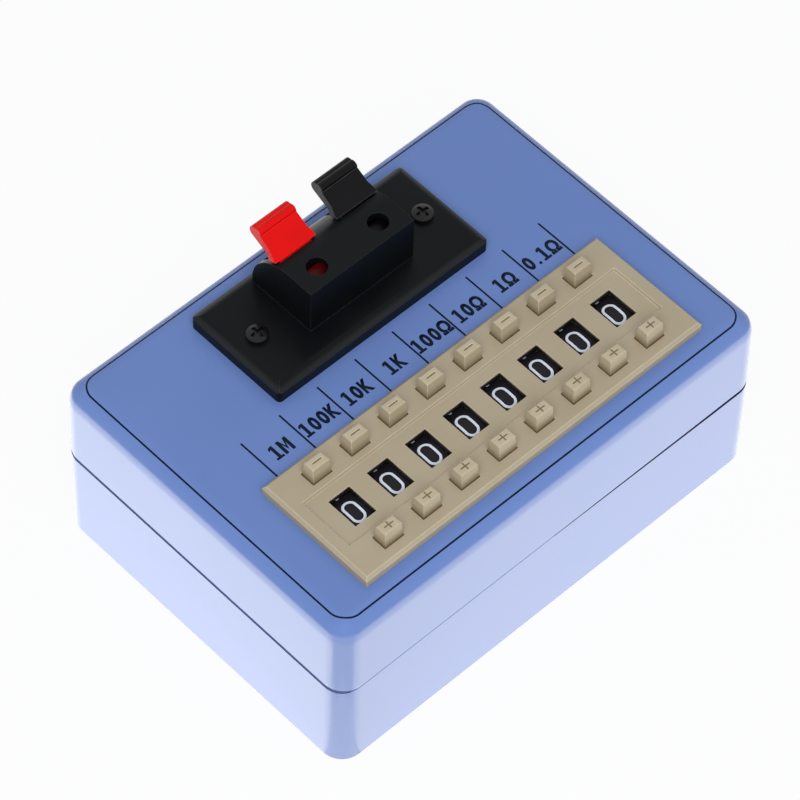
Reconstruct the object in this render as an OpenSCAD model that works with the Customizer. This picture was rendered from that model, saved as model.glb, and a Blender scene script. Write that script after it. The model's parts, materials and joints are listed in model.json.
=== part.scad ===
// Bench decade resistance box: a two-part plastic case, a bank of push-wheel
// decade switches and a two-way sprung wire terminal.
// Millimetres, +Z up, +X to the user's right, -Y towards the user,
// origin at the centre of the case's underside.

/* [Case] */
// Width of the case at the seam
case_w = 90.8; // [86:0.1:120]
// Depth of the case at the seam, front to back
case_d = 65.2; // [63:0.1:90]
// Height of the case, to the top of the lid
case_h = 35.6; // [32:0.2:50]
// Height of the base, up to the seam
split_z = 19.3; // [18:0.1:22]
// Thickness of the case walls, floor and lid
wall = 2.2; // [1.8:0.1:2.6]
// Radius of the case's upright corners
corner_r = 4; // [3.5:0.1:7]
// Radius of the lid's top edge
top_round = 3.7; // [1:0.1:4]
// Draft of the lid: how far its top edge stands in from the seam
lid_draft = 0.15; // [0:0.05:0.6]
// Draft of the base: how far its underside stands in from the seam
base_draft = 0.05; // [0:0.05:0.8]
// Open line at the seam between lid and base, at the case's ends
seam_gap = 0.4; // [0.15:0.05:0.5]
// Open line at the seam along the case's front and back
seam_shut = 0.12; // [0.08:0.02:0.14]
// Thickness of the base's locating lip
lip_t = 1; // [0.6:0.1:1.2]
// Height of the base's locating lip
lip_h = 2; // [1:0.1:3]

/* [Case screws] */
// Distance of the screw posts' centres from the case's sides
post_inset = 5.1; // [5:0.1:5.3]
// Radius of the screw posts
post_r = 4.4; // [4.2:0.1:5]
// Radius of the case screws' heads
case_head_r = 2.7; // [2:0.1:2.9]
// Height of the case screws' heads
case_head_h = 2; // [1.2:0.1:3]
// Radius of the case screws' shanks
case_shank_r = 1.4; // [1:0.05:1.6]
// Length of the case screws' shanks
case_shank_l = 10; // [7:0.5:12]
// Thickness of the base post under the screw head
screw_seat_t = 4; // [2:0.5:6]

/* [Switch bezel] */
// Width of the bezel
bezel_w = 72; // [71:0.5:76]
// Depth of the bezel, front to back
bezel_d = 23.5; // [23:0.1:26]
// Height of the bezel above the lid
bezel_t = 2; // [1.6:0.1:3]
// Width of the bezel's bevelled edge
bezel_bevel = 0.5; // [0.2:0.1:0.8]
// Distance of the bezel's middle from the case's middle, towards the front
bank_front = 16; // [15:0.1:17]
// Width of the sunk band round the windows
recess_w = 66.6; // [63:0.2:68]
// Depth of the sunk band, front to back
recess_d = 10.2; // [8:0.1:11]
// How far the band is sunk
recess_sink = 0.5; // [0.2:0.1:0.8]
// Thickness of the bezel under the band
band_t = 1.2; // [0.8:0.1:1.4]
// Width of a window
window_w = 4.4; // [3:0.1:4.6]
// Height of a window, front to back
window_d = 6.2; // [4:0.1:7]
// Thickness of the skirt that passes through the lid
skirt_t = 0.8; // [0.6:0.1:1]
// Depth of the skirt below the lid's top
skirt_h = 4.5; // [4:0.1:6]

/* [Switch modules] */
// Width of one switch module
pitch = 8; // [7.8:0.1:8.2]
// Thickness of the plates between modules
divider_t = 0.8; // [0.6:0.1:1]
// Thickness of the plates at the ends of the bank
end_plate_t = 1.6; // [1:0.1:1.6]
// Radius of the numbered drums
wheel_r = 8.2; // [7.6:0.1:8.6]
// Width of the numbered drums
wheel_w = 4.8; // [4.6:0.1:5]
// Radius of the axle that carries the drums
axle_r = 1; // [0.8:0.05:1.2]
// Radius to the tips of the ratchet teeth
ratchet_r = 6.2; // [5:0.1:6.4]
// Depth of the ratchet teeth
tooth_h = 1; // [0.6:0.1:1.2]
// Width of the ratchet
ratchet_w = 1; // [0.8:0.1:1.05]
// Radius of the tie rods through the plates
tie_r = 1; // [0.8:0.1:1.2]
// Thickness of a code board
code_board_t = 0.7; // [0.5:0.05:0.8]

/* [Buttons] */
// Distance of each button row from the windows' centre line
button_row = 8; // [7.9:0.05:8.2]
// Width of a button where it enters the bezel
button_w = 3.7; // [3:0.1:4]
// Depth of a button where it enters the bezel
button_d = 2.6; // [2.2:0.1:2.8]
// Width of a button's top
button_top_w = 3.5; // [2.6:0.1:3.6]
// Depth of a button's top
button_top_d = 2.1; // [1.6:0.1:2.1]
// Height of a button above the bezel
button_h = 3.1; // [2.6:0.1:4]
// Radius of a button's top edges
button_round = 0.35; // [0.2:0.05:0.5]
// Gap round a button in its hole
button_gap = 0.18; // [0.1:0.02:0.2]
// Length of the sign cut into a button's top
sign_l = 1.9; // [1:0.1:2.2]
// Length of the plus sign's second bar
sign_d = 1.5; // [0.8:0.1:1.5]
// Width of the sign's bars
sign_w = 0.28; // [0.2:0.02:0.4]
// Depth of the sign
sign_sink = 0.2; // [0.1:0.05:0.3]
// Travel of a button
button_travel = 2.2; // [1.5:0.1:2.4]

/* [Terminal] */
// Width of the terminal's plate
plate_w = 45; // [43:0.5:48]
// Depth of the terminal's plate
plate_d = 20.5; // [19:0.1:22]
// Thickness of the terminal's plate
plate_t = 3.2; // [2.8:0.1:3.6]
// Width of the plate's bevelled border
plate_bevel = 1.6; // [0.6:0.1:1.6]
// Height of the plate's bevelled border
plate_bevel_h = 1; // [0.4:0.1:1.4]
// Distance of the terminal's middle from the case's middle, towards the back
terminal_back = 16.75; // [16:0.05:17.4]
// Width of the terminal's hump
hump_w = 22; // [21.4:0.1:24]
// Height of the hump above the lid
hump_h = 12.5; // [12:0.1:14]
// Radius of the hump's rounded back
hump_r = 8.2; // [8:0.1:8.4]
// Length of the hump's flat top, in front of its rounded back
hump_flat = 5.3; // [5:0.1:5.6]
// Thickness of the hump's walls
hump_wall = 1.3; // [1:0.1:1.4]
// Distance of the levers' pivots behind the plate's front edge
pivot_back = 10.6; // [10.3:0.1:10.9]
// Distance between the two wire holes
hole_pitch = 13; // [12.6:0.1:13.2]
// Radius of the wire holes
hole_r = 1.8; // [1.2:0.1:1.9]
// Distance between the terminal's two screws
terminal_screw_pitch = 35.5; // [34:0.1:37]
// Radius of the terminal screws' heads
terminal_head_r = 1.8; // [1.6:0.1:2.4]
// Height of the terminal screws' heads
terminal_head_h = 1.2; // [0.8:0.1:1.6]
// Radius of the terminal screws' shanks
terminal_shank_r = 1.2; // [1:0.05:1.4]

/* [Levers] */
// Width of a lever inside the hump
stem_w = 6.6; // [6:0.1:6.8]
// Width of a lever's finger tab where it leaves the hump
tab_base_w = 8.6; // [7.6:0.1:8.8]
// Width of a lever's finger tab at its tip
tab_tip_w = 7.4; // [6:0.1:7.6]
// Thickness of a lever's finger tab
tab_t = 2.1; // [1.6:0.1:2.4]
// Thickness of a lever's finger tab at its waist
waist_t = 1.4; // [1:0.1:1.6]
// Slope of the finger tab at rest
tab_angle = 33; // [28:1:38]
// Reach of the finger tab from the lever's pivot
tab_reach = 12.8; // [11:0.1:14]
// Height of the finger tab's upper face over the pivot, square to the tab
tab_lift = 5; // [4.8:0.1:5.4]
// Turn of a lever when it is pressed
press_angle = 24; // [18:1:25]
// Radius of the levers' pivots
pivot_r = 1; // [0.8:0.05:1.2]

/* [Electrical parts] */
// Thickness of the resistor board
board_t = 1.6; // [1:0.1:2]
// Length of a resistor chip
chip_l = 3.2; // [2:0.1:3.4]
// Width of a resistor chip
chip_w = 1.6; // [0.8:0.1:1.8]
// Height of a resistor chip
chip_h = 0.6; // [0.4:0.05:0.8]
// Radius of the inside leads
lead_r = 0.6; // [0.4:0.05:0.8]
// Bend radius of the inside leads, at the lead's middle
lead_bend = 4; // [3:0.5:5]
// Thickness of the terminal's contact strips
strip_t = 0.4; // [0.3:0.05:0.5]
// Width of the terminal's contact strips
strip_w = 4; // [3:0.1:5]

/* [Clearances] */
// Radial gap of shafts that turn or slide in their holes
run_gap = 0.05; // [0.02:0.01:0.08]
// Gap on each side of pieces that slide or drop into one another
slide_gap = 0.1; // [0.05:0.01:0.15]
// Gap between pieces that move past each other
clear_gap = 0.3; // [0.25:0.05:0.4]

/* [Hidden] */
$fn = 48;
modules = 8;
digits = 10;
overlap = 0.5;
cross_share = 0.65;

// Colours
case_blue = [0.45, 0.53, 0.76];
panel_beige = [0.68, 0.62, 0.52];
button_beige = [0.74, 0.68, 0.56];
drum_black = [0.10, 0.10, 0.12];
terminal_black = [0.10, 0.11, 0.13];
lever_red = [0.84, 0.10, 0.10];
steel_grey = [0.66, 0.67, 0.69];
bronze = [0.76, 0.58, 0.30];
board_green = [0.12, 0.36, 0.22];

// Case
inner_w = case_w - 2 * wall;
inner_d = case_d - 2 * wall;
inner_r = corner_r - wall;
edge_round = min(top_round, corner_r - lid_draft - slide_gap);
post_x = case_w / 2 - post_inset;
post_y = case_d / 2 - post_inset;
screw_seat_z = split_z - screw_seat_t;
screw_tip_z = screw_seat_z + case_shank_l;
lid_under = case_h - wall;

// Switch bank, seen from above
bank_y = -bank_front;
bank_w = modules * pitch;
module_inner = pitch - divider_t;
end_inner_x = bank_w / 2 - divider_t / 2;
end_outer_x = end_inner_x + end_plate_t;
skirt_in_x = end_outer_x + slide_gap;
skirt_out_x = skirt_in_x + skirt_t;
skirt_inset = 1.15;
skirt_out_y = bezel_d / 2 - skirt_inset;
skirt_in_y = skirt_out_y - skirt_t;
plate_half_y = skirt_in_y - 2 * slide_gap;
snap_w = 4;
snap_y = 6;
snap_out = 1;
catch_w = 7;
catch_h = 1;

// Switch bank, heights
bezel_top = case_h + bezel_t;
band_top = bezel_top - recess_sink;
band_under = band_top - band_t;
drum_top = band_under - clear_gap;
wheel_z = drum_top - wheel_r;
tie_inset = 3.2;
tie_end = 1.4;
tie_nut_r = 1.9;
tie_y = min(plate_half_y - tie_inset, post_y - post_r - clear_gap - tie_nut_r - bank_front);

// Parts along a module, from its middle
board_side_x = -module_inner / 2 + code_board_t;
ratchet_side_x = wheel_w / 2;
arm_x = ratchet_side_x + 2 * slide_gap;
arm_end_x = module_inner / 2 - 2 * slide_gap;
web_x = -0.8;
sleeve_wall = 1.2;
sleeve_r = axle_r + sleeve_wall;

// Buttons
collar_t = 0.8;
collar_top = band_under - run_gap;
collar_overhang = 0.7;
arm_stand_off = 0.7;
arm_in_y = ratchet_r + arm_stand_off;
arm_d = 1.7;
arm_drop = 1.5;
arm_bottom = wheel_z - arm_drop;
tongue_t = 0.5;
tongue_l = 4.6;
tongue_bottom = arm_bottom - tongue_l - tongue_t;
nib_h = 1;

// Foot of the bank, under the pressed buttons' spring tongues
tie_z = min(tongue_bottom - button_travel, wheel_z - wheel_r) - clear_gap - tie_r;
foot_margin = 1.1;
plates_bottom = min(tie_z - tie_r, wheel_z - wheel_r) - foot_margin;

// Terminal, with its pivot line at the middle of the rounded back
plate_front = terminal_back - plate_d / 2;
pivot_y = plate_front + pivot_back;
pivot_z = case_h + hump_h - hump_r;
hump_front = pivot_y - hump_flat;
plate_top = case_h + plate_t;
chamber_r = hump_r - hump_wall;
chamber_w = stem_w + 4 * slide_gap;
lever_x = hole_pitch / 2;
hole_y = pivot_y - hole_r;
pocket_skin = 0.25;
pocket_l = hump_w / 2 - lever_x - chamber_w / 2 - pocket_skin;
stem_low_angle = 54;
stem_high_angle = 68;
gate_low_angle = 92;
gate_high_angle = 113;
gate_w = 4.4;
hub_wall = 0.7;
hub_r = pivot_r + hub_wall;
shell_r = hump_r + clear_gap;
slot_play_angle = 2;
slot_low_angle = stem_low_angle - press_angle - slot_play_angle;
slot_high_angle = stem_high_angle + slot_play_angle;
strip_y = hump_front + hump_wall;
pad_l = 3;
pad_drop = 7;
pad_z = case_h - pad_drop;
terminal_nut_h = 2;
terminal_nut_r = 2.6;

// Boards and leads
board_top = plates_bottom;
board_front = 0.4;
board_back = 4.4;
board_front_y = bank_y - plate_half_y - board_front;
board_back_y = bank_y + plate_half_y + board_back;
tab_half_y = 3;
tab_out = 1;
lead_z = board_top + lead_r;
lead_y = strip_y + pad_l / 2;
lead_on_board = 3.4;
lead_end_y = board_back_y - lead_on_board;

function module_x(k) = (k - (modules + 1) / 2) * pitch;

// Shared shapes

module rounded_rect(w, d, r) {
    square([w - 2 * r, d], center = true);
    square([w, d - 2 * r], center = true);
    for (x = [-1, 1], y = [-1, 1])
        translate([x * (w / 2 - r), y * (d / 2 - r)]) circle(r = r);
}

// Upright half outline of a drafted wall, from the axis out to half width s
module drafted_half(s, h, low_in, high_in, edge_r) {
    side_h = h - edge_r;
    polygon([[0, 0], [s - low_in, 0], [s - high_in, side_h], [0, side_h]]);
    if (edge_r > 0) {
        flat = s - high_in - edge_r;
        square([flat, h]);
        translate([flat, side_h]) intersection() {
            circle(r = edge_r);
            square(edge_r);
        }
    }
}

// Block with round upright corners, drafted sides and a round top edge
module drafted_block(w, d, h, r, low_in, high_in, edge_r) {
    module outline(s) {
        drafted_half(s, h, low_in, high_in, edge_r);
        mirror([1, 0]) drafted_half(s, h, low_in, high_in, edge_r);
    }
    translate([0, d / 2 - r, 0]) rotate([90, 0, 0]) linear_extrude(d - 2 * r) outline(w / 2);
    translate([r - w / 2, 0, 0]) rotate([90, 0, 90]) linear_extrude(w - 2 * r) outline(d / 2);
    for (x = [-1, 1], y = [-1, 1])
        translate([x * (w / 2 - r), y * (d / 2 - r), 0])
            rotate_extrude() drafted_half(r, h, low_in, high_in, edge_r);
}

// Block of height h whose sides lean in by bevel over the top bevel_h
module bevelled_block(w, d, h, bevel, bevel_h) {
    module outline(s) {
        polygon([
            [-s, 0], [s, 0], [s, h - bevel_h], [s - bevel, h],
            [bevel - s, h], [-s, h - bevel_h]
        ]);
    }
    intersection() {
        translate([0, d / 2, 0]) rotate([90, 0, 0]) linear_extrude(d) outline(w / 2);
        translate([-w / 2, 0, 0]) rotate([90, 0, 90]) linear_extrude(w) outline(d / 2);
    }
}

// Flat (y, z) outline drawn out along X, centred on x
module along_x(x, w) {
    translate([x - w / 2, 0, 0]) rotate([90, 0, 90]) linear_extrude(w) children();
}

module rod_x(r, l) {
    rotate([0, 90, 0]) cylinder(r = r, h = l, center = true);
}

module block(low, high) {
    translate(low) cube(high - low);
}

// Slice of a disc between two angles
module sector(r, low, high) {
    reach = 2 * r;
    intersection() {
        circle(r = r);
        polygon([
            [0, 0],
            reach * [cos(low), sin(low)],
            reach * [cos((low + high) / 2), sin((low + high) / 2)],
            reach * [cos(high), sin(high)]
        ]);
    }
}

// Cross-shaped recess cut down into a screw head whose top is at z = 0
module cross_recess(l, w, depth) {
    cube([l, w, 2 * depth], center = true);
    cube([w, l, 2 * depth], center = true);
}

// Places what follows at each screw post
module at_posts() {
    for (x = [-1, 1], y = [-1, 1]) translate([x * post_x, y * post_y, 0]) children();
}

// Case

module base() {
    well_r = case_head_r + 4 * slide_gap;
    color(case_blue) difference() {
        union() {
            difference() {
                drafted_block(case_w, case_d, split_z, corner_r, base_draft, 0, 0);
                translate([0, 0, wall]) linear_extrude(split_z)
                    rounded_rect(inner_w, inner_d, inner_r);
            }
            translate([0, 0, split_z - overlap]) difference() {
                linear_extrude(lip_h + overlap)
                    rounded_rect(inner_w + 2 * lip_t, inner_d + 2 * lip_t, inner_r + lip_t);
                linear_extrude(3 * lip_h + overlap, center = true)
                    rounded_rect(inner_w, inner_d, inner_r);
                at_posts() translate([0, 0, overlap])
                    cylinder(r = post_r + clear_gap, h = 2 * lip_h);
            }
            intersection() {
                at_posts() translate([0, 0, wall / 2]) cylinder(r = post_r, h = split_z - wall / 2);
                drafted_block(case_w, case_d, split_z, corner_r, base_draft, 0, 0);
            }
        }
        at_posts() {
            translate([0, 0, -overlap])
                cylinder(r = well_r, h = screw_seat_z + overlap);
            cylinder(r = case_shank_r + 2 * slide_gap, h = split_z + overlap);
        }
    }
}

module lid() {
    rebate = lip_t + 2 * slide_gap;
    lid_bottom = split_z + seam_shut;
    seam_lift = atan((seam_gap - seam_shut) / corner_r);
    pilot_spare = 1;
    pilot_top = screw_tip_z + pilot_spare;
    color(case_blue) difference() {
        union() {
            difference() {
                translate([0, 0, lid_bottom])
                    drafted_block(case_w, case_d, case_h - lid_bottom, corner_r, 0, lid_draft, edge_round);
                translate([0, 0, split_z]) linear_extrude(lid_under - split_z)
                    rounded_rect(inner_w, inner_d, inner_r);
                translate([0, 0, split_z]) linear_extrude(lip_h + clear_gap)
                    rounded_rect(inner_w + 2 * rebate, inner_d + 2 * rebate, inner_r + rebate);
            }
            translate([0, 0, split_z]) intersection() {
                at_posts() cylinder(r = post_r, h = lid_under + overlap - split_z);
                drafted_block(case_w, case_d, case_h - split_z, corner_r, 0, lid_draft, edge_round);
            }
        }
        at_posts() translate([0, 0, split_z - overlap])
            cylinder(r = case_shank_r + run_gap, h = pilot_top - split_z + overlap);
        for (side = [-1, 1])
            translate([side * (case_w / 2 - corner_r), 0, lid_bottom]) rotate([0, -side * seam_lift, 0])
                translate([side * corner_r, 0, -wall / 2])
                    cube([2 * corner_r, 2 * case_d, wall], center = true);
        translate([0, bank_y, case_h]) cube([
            2 * (skirt_out_x + 2 * slide_gap), 2 * (skirt_out_y + 2 * slide_gap), 3 * wall
        ], center = true);
        for (side = [-1, 1]) {
            translate([side * terminal_screw_pitch / 2, terminal_back, lid_under - overlap])
                cylinder(r = terminal_shank_r + 2 * slide_gap, h = wall + 2 * overlap);
            translate([side * lever_x, strip_y + pad_l / 2, case_h])
                cube([strip_w + 4 * clear_gap, pad_l + 2 * clear_gap, 3 * wall], center = true);
        }
    }
}

module base_screws() {
    color(steel_grey) at_posts() {
        translate([0, 0, screw_seat_z - case_head_h]) difference() {
            cylinder(r = case_head_r, h = case_head_h);
            cross_recess(cross_share * 2 * case_head_r, case_head_r / 4, case_head_h / 2);
        }
        translate([0, 0, screw_seat_z - overlap])
            cylinder(r = case_shank_r, h = case_shank_l + overlap);
    }
}

// Switch bank

module button_places() {
    for (k = [1:modules], row = [-1, 1])
        translate([module_x(k), bank_y + row * button_row, 0]) children();
}

module switch_bezel() {
    edge = 0.25;
    rim = 2 * edge;
    snap_top = lid_under - run_gap;
    hole_w = button_w + 2 * button_gap;
    hole_d = button_d + 2 * button_gap;
    color(panel_beige) difference() {
        translate([0, bank_y, 0]) {
            translate([0, 0, case_h])
                bevelled_block(bezel_w, bezel_d, bezel_t, bezel_bevel, bezel_bevel);
            difference() {
                block([-skirt_out_x, -skirt_out_y, case_h - skirt_h],
                      [skirt_out_x, skirt_out_y, band_under + overlap]);
                block([-skirt_in_x, -skirt_in_y, case_h - skirt_h - overlap],
                      [skirt_in_x, skirt_in_y, band_under]);
            }
            for (side = [-1, 1], y = [-snap_y, snap_y])
                translate([0, y + snap_w / 2, 0]) rotate([90, 0, 0]) linear_extrude(snap_w)
                    polygon([
                        [side * (skirt_out_x - skirt_t / 2), snap_top],
                        [side * (skirt_out_x + snap_out), snap_top],
                        [side * (skirt_out_x - skirt_t / 2), case_h - skirt_h]
                    ]);
        }
        translate([0, bank_y, 0]) {
            block([-skirt_in_x, -skirt_in_y, case_h - overlap], [skirt_in_x, skirt_in_y, band_under]);
            translate([0, 0, bezel_top + edge]) mirror([0, 0, 1])
                bevelled_block(recess_w + rim, recess_d + rim, recess_sink + edge, edge, recess_sink);
            for (side = [-1, 1])
                translate([side * skirt_in_x, 0, lid_under - catch_h])
                    cube([4 * skirt_t, catch_w + 2 * slide_gap, catch_h + 2 * slide_gap], center = true);
            for (k = [1:modules])
                translate([module_x(k), 0, band_top]) cube([window_w, window_d, 4 * band_t], center = true);
        }
        button_places() translate([0, 0, bezel_top]) cube([hole_w, hole_d, 4 * bezel_t], center = true);
    }
}

// Upright plate across the bank with holes for the axle and tie rods
module bank_plate(x, t, axle_gap) {
    along_x(x, t) difference() {
        translate([bank_y - plate_half_y, plates_bottom])
            square([2 * plate_half_y, band_under - plates_bottom]);
        translate([bank_y, wheel_z]) circle(r = axle_r + axle_gap);
        for (side = [-1, 1])
            translate([bank_y + side * tie_y, tie_z]) circle(r = tie_r + run_gap);
    }
}

// End plate of the bank; its catch rib holds in the bezel's skirt
module end_plate(side) {
    rib_out = skirt_t;
    color(panel_beige) {
        bank_plate(side * (end_inner_x + end_plate_t / 2), end_plate_t, run_gap);
        translate([side * end_outer_x, bank_y, lid_under - catch_h])
            cube([2 * rib_out, catch_w, catch_h], center = true);
    }
}

module divider_plates() {
    color(panel_beige) for (k = [1:modules - 1])
        bank_plate(module_x(k) + pitch / 2, divider_t, run_gap);
}

module wheel_axle() {
    color(steel_grey) translate([0, bank_y, wheel_z]) rod_x(axle_r, 2 * end_outer_x);
}

module tie_rods() {
    color(steel_grey) for (side = [-1, 1]) translate([0, bank_y + side * tie_y, tie_z]) {
        translate([tie_end / 2, 0, 0]) rod_x(tie_r, 2 * end_outer_x + tie_end);
        translate([-end_outer_x - tie_end / 2, 0, 0]) rod_x(tie_nut_r, tie_end);
    }
}

module tie_nuts() {
    color(steel_grey) for (side = [-1, 1])
        translate([end_outer_x, bank_y + side * tie_y, tie_z]) rotate([0, 90, 0]) difference() {
            cylinder(r = tie_nut_r, h = tie_end, $fn = 6);
            translate([0, 0, -overlap]) cylinder(r = tie_r + run_gap, h = tie_end + 2 * overlap);
        }
}

// Code board of each module, with a tab that solders into the resistor board
module code_boards() {
    inset = 1;
    color(board_green) for (k = [1:modules])
        along_x(module_x(k) - module_inner / 2 + code_board_t / 2, code_board_t) difference() {
            union() {
                translate([bank_y - plate_half_y + inset, board_top])
                    square([2 * (plate_half_y - inset), case_h - inset - board_top]);
                translate([bank_y - tab_half_y, board_top - board_t - tab_out])
                    square([2 * tab_half_y, board_t + tab_out + overlap]);
            }
            translate([bank_y, wheel_z]) circle(r = axle_r + 2 * clear_gap);
            for (side = [-1, 1])
                translate([bank_y + side * tie_y, tie_z]) circle(r = tie_r + clear_gap);
        }
}

// Leaf spring under each ratchet, with a bump that rides on the teeth
module detent_springs() {
    leaf_t = 0.3;
    leaf_half = 4.5;
    bump_r = 0.5;
    bump_z = wheel_z - ratchet_r - run_gap - slide_gap - bump_r;
    leaf_w = module_inner / 2 - ratchet_side_x - slide_gap;
    color(bronze) for (k = [1:modules])
        along_x(module_x(k) + module_inner / 2 - leaf_w / 2, leaf_w) {
            translate([bank_y - leaf_half, bump_z - leaf_t]) square([2 * leaf_half, leaf_t]);
            intersection() {
                translate([bank_y, bump_z]) circle(r = bump_r);
                translate([bank_y - bump_r, bump_z - leaf_t / 2]) square(2 * bump_r);
            }
        }
}

// Numbered drum, hollow on its contact side, with its ratchet on the other
module digit_wheel(k) {
    rim_t = 1;
    step = 360 / digits;
    color(drum_black) translate([module_x(k), bank_y, wheel_z]) difference() {
        union() {
            difference() {
                rod_x(wheel_r, wheel_w);
                rotate([0, 90, 0]) translate([0, 0, -wheel_w]) difference() {
                    cylinder(r = wheel_r - rim_t, h = wheel_w + web_x);
                    cylinder(r = sleeve_r, h = 2 * wheel_w);
                }
            }
            along_x(ratchet_side_x + ratchet_w / 2 - slide_gap / 2, ratchet_w + slide_gap) polygon([
                for (t = [0:digits - 1], tip = [0, 1])
                    (ratchet_r - tip * tooth_h) * [sin((t + tip / 2) * step), cos((t + tip / 2) * step)]
            ]);
        }
        rod_x(axle_r + run_gap, 2 * pitch);
    }
}

// Contact brush of one drum: a ring on the drum's web with three finger tips
module contact_brush(k) {
    ring_t = 0.3;
    ring_margin = 2.4;
    ring_in = sleeve_r + run_gap;
    ring_out = wheel_r - ring_margin;
    ring_x = web_x - ring_t / 2;
    tip_w = 0.6;
    tip_x = board_side_x + slide_gap;
    color(bronze) translate([module_x(k), bank_y, wheel_z]) {
        along_x(ring_x, ring_t) difference() {
            circle(r = ring_out);
            circle(r = ring_in);
        }
        for (t = [0:2])
            translate([0, 0, ring_in + (t + 0.5) * (ring_out - ring_in) / 3])
                block([tip_x, -tip_w / 2, -tip_w / 2], [ring_x, tip_w / 2, tip_w / 2]);
    }
}

// Side outline of a button cap, round at its top corners
module cap_outline(foot, top, low_z, high_z) {
    slope_z = bezel_top + slide_gap;
    side_z = high_z - button_round;
    polygon([
        [-foot / 2, low_z], [foot / 2, low_z], [foot / 2, slope_z], [top / 2, side_z],
        [-top / 2, side_z], [-foot / 2, slope_z]
    ]);
    for (side = [-1, 1])
        translate([side * (top / 2 - button_round), side_z]) circle(r = button_round);
    translate([button_round - top / 2, low_z]) square([top - 2 * button_round, high_z - low_z]);
}

// Button with its sign, its collar under the bezel, its pawl arm beside the
// drum and its moulded spring tongue; row is 1 at the back, -1 at the front
module push_button(k, row) {
    low_z = collar_top - collar_t / 2;
    high_z = bezel_top + button_h;
    collar_in = button_row - button_d / 2;
    collar_out = min(collar_in + button_d + collar_overhang / 2, plate_half_y);
    collar_x = button_w / 2 + collar_overhang;
    arm_w = arm_end_x - arm_x;
    color(button_beige) translate([module_x(k), bank_y, 0]) mirror([0, row > 0 ? 0 : 1, 0]) {
        translate([0, button_row, 0]) difference() {
            intersection() {
                translate([0, pitch / 2, 0]) rotate([90, 0, 0]) linear_extrude(pitch)
                    cap_outline(button_w, button_top_w, low_z, high_z);
                along_x(0, pitch) cap_outline(button_d, button_top_d, low_z, high_z);
            }
            translate([0, 0, high_z]) {
                cube([sign_l, sign_w, 2 * sign_sink], center = true);
                if (row < 0) cube([sign_w, sign_d, 2 * sign_sink], center = true);
            }
        }
        block([-collar_x, collar_in, collar_top - collar_t], [arm_end_x, collar_out, collar_top]);
        along_x((arm_x + arm_end_x) / 2, arm_w) {
            translate([arm_in_y, arm_bottom]) square([arm_d, collar_top - collar_t / 2 - arm_bottom]);
            polygon([
                [arm_in_y + overlap, arm_bottom + nib_h],
                [ratchet_r + 1.5 * slide_gap, arm_bottom + nib_h / 2],
                [arm_in_y + overlap, arm_bottom]
            ]);
            translate([arm_in_y + arm_d - tongue_t, arm_bottom - tongue_l])
                square([tongue_t, tongue_l + overlap]);
            translate([arm_in_y + arm_d - tongue_t, arm_bottom - tongue_l]) circle(r = tongue_t);
        }
    }
}

// Terminal

module hump_outline() {
    translate([hump_front, case_h]) square([hump_flat, hump_h]);
    translate([hump_front, case_h]) square([hump_flat + hump_r, pivot_z - case_h]);
    translate([pivot_y, pivot_z]) circle(r = hump_r);
}

module chamber_outline() {
    low = case_h - overlap;
    high = case_h + hump_h - hump_wall;
    front_l = hump_flat - hump_wall;
    translate([hump_front + hump_wall, low]) {
        square([front_l, high - low]);
        square([front_l + chamber_r, pivot_z - low]);
        intersection() {
            translate([front_l, pivot_z - low]) circle(r = chamber_r);
            square([front_l + chamber_r, high - low]);
        }
    }
}

module terminal_body() {
    corner = 0.8;
    core_w = hole_pitch - chamber_w - 2 * hump_wall;
    color(terminal_black) difference() {
        union() {
            translate([0, terminal_back, case_h]) intersection() {
                bevelled_block(plate_w, plate_d, plate_t, plate_bevel, plate_bevel_h);
                linear_extrude(plate_t) rounded_rect(plate_w, plate_d, corner);
            }
            along_x(0, hump_w) intersection() {
                hump_outline();
                translate([hump_front, case_h]) square([hump_flat + hump_r, hump_h]);
            }
        }
        for (side = [-1, 1]) {
            along_x(side * lever_x, chamber_w) chamber_outline();
            along_x(side * lever_x, chamber_w) translate([pivot_y, pivot_z])
                sector(hump_r + hump_wall, slot_low_angle, slot_high_angle);
            translate([side * lever_x, pivot_y, pivot_z])
                rod_x(pivot_r + run_gap, chamber_w + 2 * pocket_l);
            translate([side * lever_x, hole_y, pivot_z]) cylinder(r = hole_r, h = hump_h);
            translate([side * terminal_screw_pitch / 2, terminal_back, case_h - overlap])
                cylinder(r = terminal_shank_r + 2 * slide_gap, h = plate_t + 2 * overlap);
        }
        along_x(0, core_w) chamber_outline();
    }
}

module terminal_screws() {
    shank_l = plate_t + wall + terminal_nut_h;
    dome_r = 2 * terminal_head_r;
    cross_l = cross_share * 2 * terminal_head_r;
    color(terminal_black) for (side = [-1, 1])
        translate([side * terminal_screw_pitch / 2, terminal_back, plate_top]) {
            difference() {
                intersection() {
                    cylinder(r = terminal_head_r, h = terminal_head_h);
                    translate([0, 0, terminal_head_h - dome_r]) sphere(r = dome_r);
                }
                translate([0, 0, terminal_head_h])
                    cross_recess(cross_l, terminal_head_r / 3, terminal_head_h / 2);
            }
            translate([0, 0, -shank_l]) cylinder(r = terminal_shank_r, h = shank_l + terminal_head_h / 4);
        }
}

module terminal_nuts() {
    color(steel_grey) for (side = [-1, 1])
        translate([side * terminal_screw_pitch / 2, terminal_back, lid_under - terminal_nut_h])
            difference() {
                cylinder(r = terminal_nut_r, h = terminal_nut_h, $fn = 6);
                translate([0, 0, -overlap])
                    cylinder(r = terminal_shank_r + run_gap, h = terminal_nut_h + 2 * overlap);
            }
}

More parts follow.
